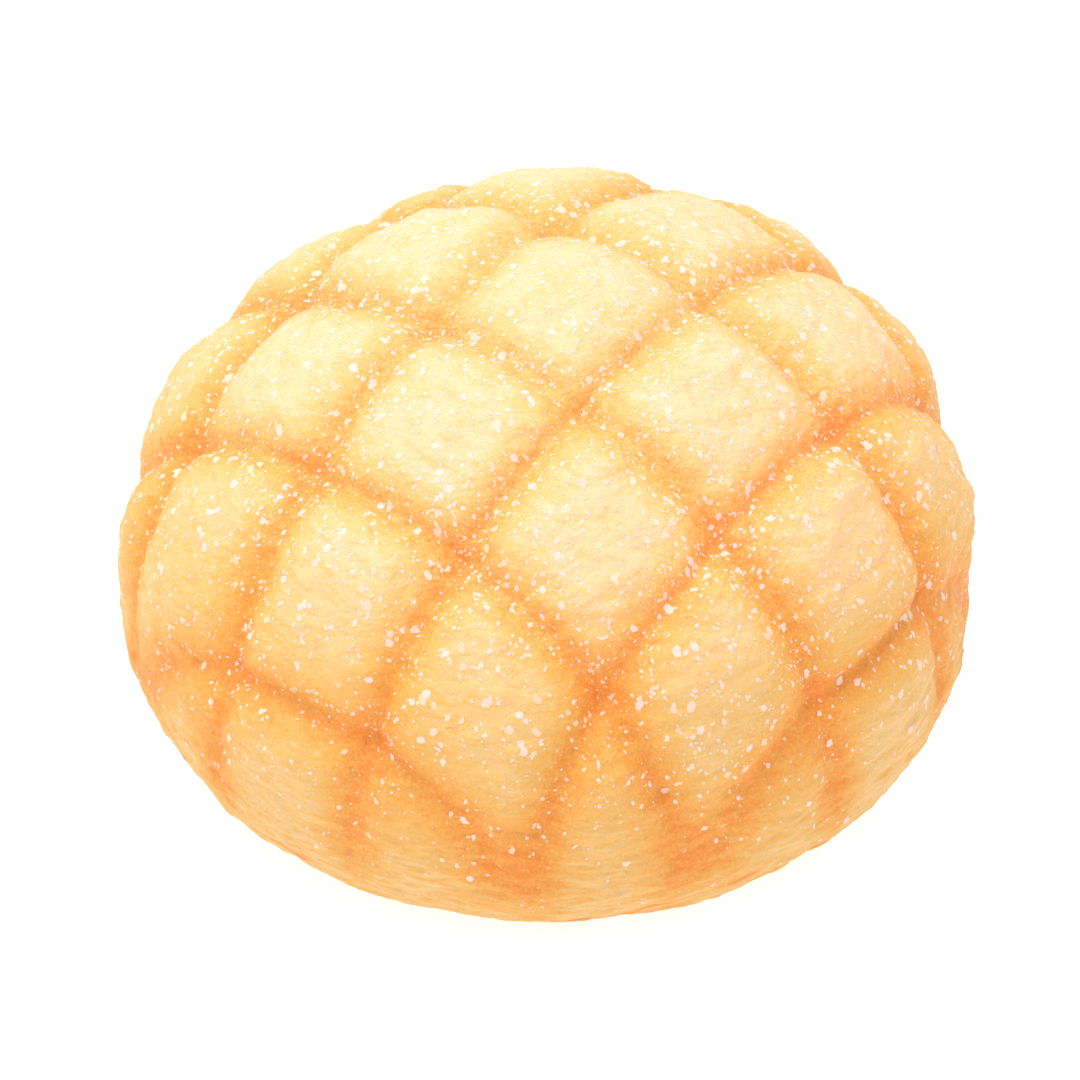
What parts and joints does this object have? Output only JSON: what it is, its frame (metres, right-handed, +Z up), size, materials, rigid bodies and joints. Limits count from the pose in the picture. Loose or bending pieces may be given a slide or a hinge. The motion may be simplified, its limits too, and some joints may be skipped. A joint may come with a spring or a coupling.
{
  "type": "foam melon pan bun",
  "caption": "Soft moulded foam copy of a melon pan bun: a low dome with a crossed lattice of rounded grooves, pillow-shaped cells and a flat base to stand on.",
  "frame": {"origin": "middle of the flat base", "axes": "+Z up through the top of the dome, -Y towards the side that faces the viewer"},
  "size_m": [0.1099, 0.11, 0.0629],
  "materials": {
    "crust": "matte foam skin, cream with sprayed orange grooves and white paint flecks"
  },
  "bodies": {
    "root": {"bun": "crust"}
  },
  "joints": []
}
